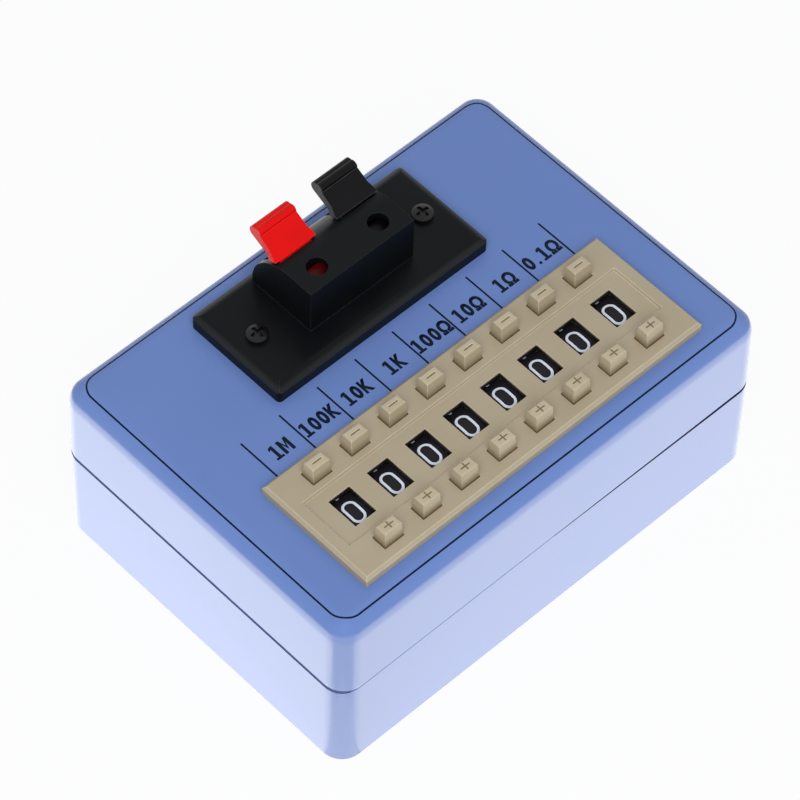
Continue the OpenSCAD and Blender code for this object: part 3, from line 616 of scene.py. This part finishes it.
border = {"width": 86.27, "depth": 60.85, "line": 0.27, "corner": 3.2, "steps": 12, "above": 1}
deselectAll()
bpy.ops.mesh.primitive_plane_add(size=1, location=(0, 0, lidTop + border["above"] * mm))
frameLine = bpy.context.active_object
frameLine.scale = (border["width"] * mm, border["depth"] * mm, 1)
applyPlace(frameLine)
bpy.ops.object.mode_set(mode="EDIT")
bpy.ops.mesh.select_all(action="SELECT")
bpy.ops.mesh.bevel(offset=border["corner"] * mm, segments=border["steps"], affect="VERTICES")
bpy.ops.mesh.select_all(action="SELECT")
bpy.ops.mesh.inset(thickness=border["line"] * mm)
bpy.ops.mesh.delete(type="FACE")
bpy.ops.object.mode_set(mode="OBJECT")
applyModifier(frameLine, "SHRINKWRAP", target=easedPieces["lid"], wrap_method="PROJECT", use_project_z=True,
              use_positive_direction=False, use_negative_direction=True)  # laid on the rounded rim
raiseInk(frameLine, "lid_border_line")

ticks = {"count": modules["count"] + 1, "front": -4.2, "back": 4.9, "line": 0.31}  # one between each two values
deselectAll()
tickX, tickY = modules["first"] - modules["pitch"] / 2, (ticks["front"] + ticks["back"]) / 2
bpy.ops.mesh.primitive_plane_add(size=1, location=(tickX * mm, tickY * mm, lidTop))
tickLines = bpy.context.active_object
tickLines.scale = (ticks["line"] * mm, (ticks["back"] - ticks["front"]) * mm, 1)
applyPlace(tickLines)
applyModifier(tickLines, "ARRAY", count=ticks["count"], use_relative_offset=False, use_constant_offset=True,
              constant_offset_displace=(modules["pitch"] * mm, 0, 0))
raiseInk(tickLines, "decade_tick_lines")


# welds a flat figure and turns it face up
def closeStrokes(obj):
    pickOnly(obj)
    bpy.ops.object.mode_set(mode="EDIT")
    bpy.ops.mesh.select_mode(type="VERT")
    bpy.ops.mesh.select_all(action="SELECT")
    bpy.ops.mesh.remove_doubles(threshold=inkMerge)
    bpy.ops.mesh.normals_make_consistent(inside=False)
    bpy.ops.object.mode_set(mode="OBJECT")
    if sum(face.normal.z * face.area for face in obj.data.polygons) < 0:
        bpy.ops.object.mode_set(mode="EDIT")
        bpy.ops.mesh.flip_normals()
        bpy.ops.object.mode_set(mode="OBJECT")
    return obj


# one character made flat, its lower left corner at the origin
def flatGlyph(char, width, height, bold):
    deselectAll()
    bpy.ops.object.text_add()
    glyph = bpy.context.active_object
    glyph.data.body = char
    glyph.data.size = 1
    glyph.data.offset = bold
    glyph.data.resolution_u = 5
    bpy.ops.object.convert(target="MESH")
    glyph = bpy.context.active_object
    low, high = meshBox(glyph)
    size = high - low
    glyph.scale = (width * mm / size.x, height * mm / size.y, 1)
    glyph.location = (-low.x * glyph.scale.x, -low.y * glyph.scale.y, 0)
    applyPlace(glyph)
    return closeStrokes(glyph)


labels = {"words": ("1M", "100K", "10K", "1K", "100Ω", "10Ω", "1Ω", "0.1Ω"),
          "middle": 0.05, "height": 2.8, "gap": 0.28, "point": 0.54, "stem": 0.56,
          "widths": {"0": 1.5, "1": 1.5, ".": 1.1, "K": 1.75, "M": 2.0, "Ω": 2.1},
          "bold": {"0": 0.046, "K": 0.046, "Ω": 0.046, ".": 0},
          "foot": 0.42, "flag": 0.5, "flagDrop": 0.28, "flagIn": 0.1, "vee": 0.85, "veeDrop": 1.5}


def pullEdges(obj, test, x, y):
    pickEdges(obj, test)
    bpy.ops.mesh.extrude_region_move(TRANSFORM_OT_translate={"value": (x * mm, y * mm, 0)})


# an upright stroke, cut across at the given heights
def stemBar(x, height, cuts):
    deselectAll()
    bpy.ops.mesh.primitive_plane_add(size=1, location=(x * mm, height / 2 * mm, 0))
    bar = bpy.context.active_object
    bar.scale = (labels["stem"] * mm, height * mm, 1)
    applyPlace(bar)
    bpy.ops.object.mode_set(mode="EDIT")
    for y in cuts:
        bpy.ops.mesh.select_all(action="SELECT")
        bpy.ops.mesh.bisect(plane_co=(0, y * mm, 0), plane_no=(0, 1, 0))
    return bar


# the figure one with a slanted flag and a straight foot
def footedOne(width, height):
    left, right = (width - labels["stem"]) / 2, (width + labels["stem"]) / 2
    flagFoot = height - labels["flag"]
    one = stemBar(width / 2, height, (labels["foot"], flagFoot))
    pullEdges(one, lambda p: abs(p.x - left) < touch and p.y < labels["foot"], -left, 0)
    pullEdges(one, lambda p: abs(p.x - right) < touch and p.y < labels["foot"], left, 0)
    pullEdges(one, lambda p: abs(p.x - left) < touch and p.y > flagFoot,
              labels["flagIn"] - left, -labels["flagDrop"])
    return closeStrokes(one)


# capital M from two stems and a vee between them
def veeLetter(width, height):
    stem, veeFoot = labels["stem"], height - labels["vee"]
    inner = width / 2 - stem
    far = stemBar(width - stem / 2, height, (veeFoot,))
    near = stemBar(stem / 2, height, (veeFoot,))
    pullEdges(near, lambda p: abs(p.x - stem) < touch and p.y > veeFoot, inner, -labels["veeDrop"])
    bpy.ops.mesh.extrude_region_move(TRANSFORM_OT_translate={"value": (inner * mm, labels["veeDrop"] * mm, 0)})
    return closeStrokes(joinPieces([near, far], "vee_letter"))


glyphs = []
for k, word in enumerate(labels["words"]):
    widths = [labels["widths"][char] for char in word]
    x = moduleX(k) - (sum(widths) + labels["gap"] * (len(word) - 1)) / 2
    for char, width in zip(word, widths):
        if char == "1":
            glyph = footedOne(width, labels["height"])
        elif char == "M":
            glyph = veeLetter(width, labels["height"])
        elif char == ".":
            glyph = flatGlyph(char, labels["point"], labels["point"], labels["bold"][char])
        else:
            glyph = flatGlyph(char, width, labels["height"], labels["bold"][char])
        side = (width - labels["point"]) / 2 if char == "." else 0
        glyph.location = ((x + side) * mm, (labels["middle"] - labels["height"] / 2) * mm, lidTop)
        applyPlace(glyph)
        glyphs.append(glyph)
        x += width + labels["gap"]
raiseInk(joinPieces(glyphs, "decade_labels"), "decade_labels")
print("lid printed")


# painted shade: a darker beige fill in the engraved signs of the buttons, for the grooves' shade

signs = {"rows": {"minus": -8, "plus": -24}, "long": 1.86, "across": 1.46, "line": 0.22,
         "floor": 0.2, "fill": 0.1}


def signFill(sign, k):
    deselectAll()
    ending = "_" + str(k + 1)
    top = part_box(sign + "_button" + ending)[1].z
    place = (moduleX(k) * mm, signs["rows"][sign] * mm, top - signs["floor"] * mm)
    bpy.ops.mesh.primitive_plane_add(size=1, location=place)
    bar = bpy.context.active_object
    bar.scale = (signs["line"] * mm, signs["line"] * mm, 1)
    applyPlace(bar)
    bpy.ops.object.mode_set(mode="EDIT")
    half, reachX, reachY = (signs[key] / 2 for key in ("line", "long", "across"))
    middle = Vector(place) / mm
    for side in (-1, 1):  # arms out of the middle square
        pullEdges(bar, lambda p: abs(p.x - middle.x - side * half) < touch
                  and abs(p.y - middle.y) < half / 2, side * (reachX - half), 0)
        if sign == "plus":
            pullEdges(bar, lambda p: abs(p.y - middle.y - side * half) < touch
                      and abs(p.x - middle.x) < half / 2, 0, side * (reachY - half))
    raiseInk(closeStrokes(bar), sign + "_sign" + ending, "signGrooveShade", sign + "_key" + ending, signs["fill"] * mm)


for k in range(modules["count"]):
    signFill("minus", k)
    signFill("plus", k)
print("signs filled")


# numbers round the drums, 0 in the window at rest

drums = {"radius": 8.2, "proud": 0.02, "figures": 10, "shift": -0.15, "side": 0.2, "slices": 12,
         "width": 2.65, "height": 4.5, "stroke": 0.44, "ringPoints": 40,
         "oneWidth": 0.6, "oneHeight": 2.8, "oneLeft": 0.3}
drumAxis = (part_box("digit_wheel_1")[0].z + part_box("digit_wheel_1")[1].z) / 2


def zeroFigure():
    deselectAll()
    radius = drums["width"] / 2
    bpy.ops.mesh.primitive_circle_add(vertices=drums["ringPoints"], radius=radius * mm, fill_type="NGON")
    zero = bpy.context.active_object
    straight = drums["height"] / 2 - radius
    for v in zero.data.vertices:  # pull the two halves apart into a long ring
        if abs(v.co.y) > touch * mm:
            v.co.y += math.copysign(straight * mm, v.co.y)
    bpy.ops.object.mode_set(mode="EDIT")
    bpy.ops.mesh.select_all(action="SELECT")
    bpy.ops.mesh.inset(thickness=drums["stroke"] * mm)
    bpy.ops.mesh.delete(type="FACE")
    bpy.ops.object.mode_set(mode="OBJECT")
    return zero


# cuts a flat figure into strips, so that it can follow the drum's curve
def sliceFigure(figure):
    pickOnly(figure)
    for k in range(1, drums["slices"]):
        y = (k / drums["slices"] - 0.5) * drums["height"] * mm
        bpy.ops.object.mode_set(mode="EDIT")
        bpy.ops.mesh.select_all(action="SELECT")
        bpy.ops.mesh.bisect(plane_co=(0, y, 0), plane_no=(0, 1, 0))
        bpy.ops.object.mode_set(mode="OBJECT")
    applyModifier(figure, "TRIANGULATE")


flatFigures = [zeroFigure()]
for figure in range(1, drums["figures"]):
    width, height, left = drums["width"], drums["height"], drums["width"] / 2
    if figure == 1:
        width, height, left = drums["oneWidth"], drums["oneHeight"], drums["oneLeft"]
    flat = flatGlyph(str(figure), width, height, 0)
    flat.location = (-left * mm, -height / 2 * mm, 0)
    applyPlace(flat)
    flatFigures.append(flat)
for flat in flatFigures:
    sliceFigure(flat)


def wrapFigure(flat, x, turn):
    pickOnly(flat)
    bpy.ops.object.duplicate()
    copy = bpy.context.active_object
    radius = (drums["radius"] + drums["proud"]) * mm
    for v in copy.data.vertices:
        angle = turn + v.co.y / radius
        v.co = (x * mm + v.co.x, modules["middle"] * mm + radius * math.sin(angle),
                drumAxis + radius * math.cos(angle))
    return copy


start = drums["shift"] / drums["radius"]
step = 2 * math.pi / drums["figures"]
for k in range(modules["count"]):
    figureX = moduleX(k) + drums["side"]
    ring = [wrapFigure(flat, figureX, start + step * figure) for figure, flat in enumerate(flatFigures)]
    figures = joinPieces(ring, "drum_figures_" + str(k + 1))
    applyModifier(figures, "SOLIDIFY", thickness=inkDepth, offset=-1)
    giveFinish(figures, inksAndShade["digitInk"])
    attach(figures, "wheel_" + str(k + 1))
for flat in flatFigures:
    bpy.data.objects.remove(flat)
print("drums numbered")


# studio: pale floor, soft light, camera at the photograph's angle

studio = {
    "lens": 221.93, "sensor": 36, "clip": (0.01, 20), "azimuth": -44.85, "elevation": 53.83, "roll": 1.89,
    "aim": (-8.17, -5.60, 35.6), "distance": 765.47, "floorSize": 6, "floorDrop": 0.05,
    "floorTone": (226, 228, 232), "backdrop": 0.93, "skyTone": (238, 241, 248), "skyLevel": 0.45,
}
keyLamp = {"place": (-0.32, -0.36, 0.64), "aim": (0, 0, 0.02), "size": (0.6, 0.6), "power": 5.0}
panelHeight = 0.00001
floorPanels = {
    "left": {"middle": (-0.127, 0.0407), "size": (0.166, 0.1386), "power": 0.0659},
    "corner": {"middle": (-0.0487, -0.0358), "size": (0.0146, 0.0144), "power": 0.00024},
    "front": {"middle": (0.0445, -0.1157), "size": (0.171, 0.1685), "power": 0.0577},
    "right": {"middle": (0.127, 0.06425), "size": (0.166, 0.1915), "power": 0.0527},
    "back": {"middle": (0, 0.1157), "size": (0.088, 0.1685), "power": 0.0262},
}


# 1 where the backdrop itself is seen: straight, in a mirror or through glass
def viewerMask(tree):
    rays = tree.nodes.new("ShaderNodeLightPath").outputs
    seen = mathNode(tree, "MAXIMUM", rays["Is Camera Ray"], rays["Is Glossy Ray"])
    return mathNode(tree, "MAXIMUM", seen, rays["Is Transmission Ray"])


deselectAll()
bpy.ops.mesh.primitive_plane_add(size=studio["floorSize"], location=(0, 0, -studio["floorDrop"] * mm))
floor = bpy.context.active_object
floor.name = "studio_floor"
floorFinish = bpy.data.materials.new("studioFloor")
floorFinish.use_nodes = True
floorTree = floorFinish.node_tree
floorTree.nodes.clear()
lit = floorTree.nodes.new("ShaderNodeBsdfDiffuse")
lit.inputs["Color"].default_value = rgb(*studio["floorTone"])
glow = floorTree.nodes.new("ShaderNodeEmission")
glow.inputs["Color"].default_value = (1, 1, 1, 1)
share = floorTree.nodes.new("ShaderNodeMath")
share.operation = "MULTIPLY"
share.inputs[1].default_value = studio["backdrop"]
link(floorTree, viewerMask(floorTree), share.inputs[0])
floorMix = floorTree.nodes.new("ShaderNodeMixShader")
floorOut = floorTree.nodes.new("ShaderNodeOutputMaterial")
link(floorTree, share.outputs["Value"], floorMix.inputs["Fac"])
link(floorTree, lit.outputs["BSDF"], floorMix.inputs[1])
link(floorTree, glow.outputs["Emission"], floorMix.inputs[2])
link(floorTree, floorMix.outputs["Shader"], floorOut.inputs["Surface"])
giveFinish(floor, floorFinish)

world = bpy.data.worlds.new("studioRoom")
bpy.context.scene.world = world
world.use_nodes = True
skyTree = world.node_tree
skyTree.nodes.clear()
room = skyTree.nodes.new("ShaderNodeBackground")
room.inputs["Color"].default_value = rgb(*studio["skyTone"])
room.inputs["Strength"].default_value = studio["skyLevel"]
white = skyTree.nodes.new("ShaderNodeBackground")
white.inputs["Color"].default_value = (1, 1, 1, 1)
white.inputs["Strength"].default_value = 1
skyMix = skyTree.nodes.new("ShaderNodeMixShader")
skyOut = skyTree.nodes.new("ShaderNodeOutputWorld")
link(skyTree, viewerMask(skyTree), skyMix.inputs["Fac"])
link(skyTree, room.outputs["Background"], skyMix.inputs[1])
link(skyTree, white.outputs["Background"], skyMix.inputs[2])
link(skyTree, skyMix.outputs["Shader"], skyOut.inputs["Surface"])


def addLamp(name, place, aim, lamp):
    deselectAll()
    bpy.ops.object.light_add(type="AREA", location=place)
    light = bpy.context.active_object
    light.name = name
    light.data.shape = "RECTANGLE"
    light.data.size, light.data.size_y = lamp["size"]
    light.data.energy = lamp["power"]
    light.visible_camera = False
    light.rotation_euler = (Vector(aim) - Vector(place)).to_track_quat("-Z", "Y").to_euler()
    return light


softbox = addLamp("key_softbox", keyLamp["place"], keyLamp["aim"], keyLamp)
softbox.visible_glossy = False  # the walls mirror the table alone
for side, panel in floorPanels.items():
    addLamp(side + "_floor_panel", (*panel["middle"], panelHeight), (*panel["middle"], 1), panel)

azimuth, elevation, roll = (math.radians(studio[key]) for key in ("azimuth", "elevation", "roll"))
back = Vector((math.sin(azimuth) * math.cos(elevation), -math.cos(azimuth) * math.cos(elevation),
               math.sin(elevation)))
right = (-back).cross(Vector((0, 0, 1))).normalized()
up = right.cross(-back)
rolledRight = math.cos(roll) * right + math.sin(roll) * up
rolledUp = -math.sin(roll) * right + math.cos(roll) * up
deselectAll()
bpy.ops.object.camera_add()
camera = bpy.context.active_object
camera.name = "photo_camera"
camera.data.lens = studio["lens"]
camera.data.sensor_width = studio["sensor"]
camera.data.clip_start, camera.data.clip_end = studio["clip"]
turned = Matrix((rolledRight, rolledUp, back)).transposed().to_4x4()
turned.translation = (Vector(studio["aim"]) + back * studio["distance"]) * mm
camera.matrix_world = turned
bpy.context.scene.camera = camera
bpy.context.scene.view_settings.view_transform = "Standard"
print("studio ready")
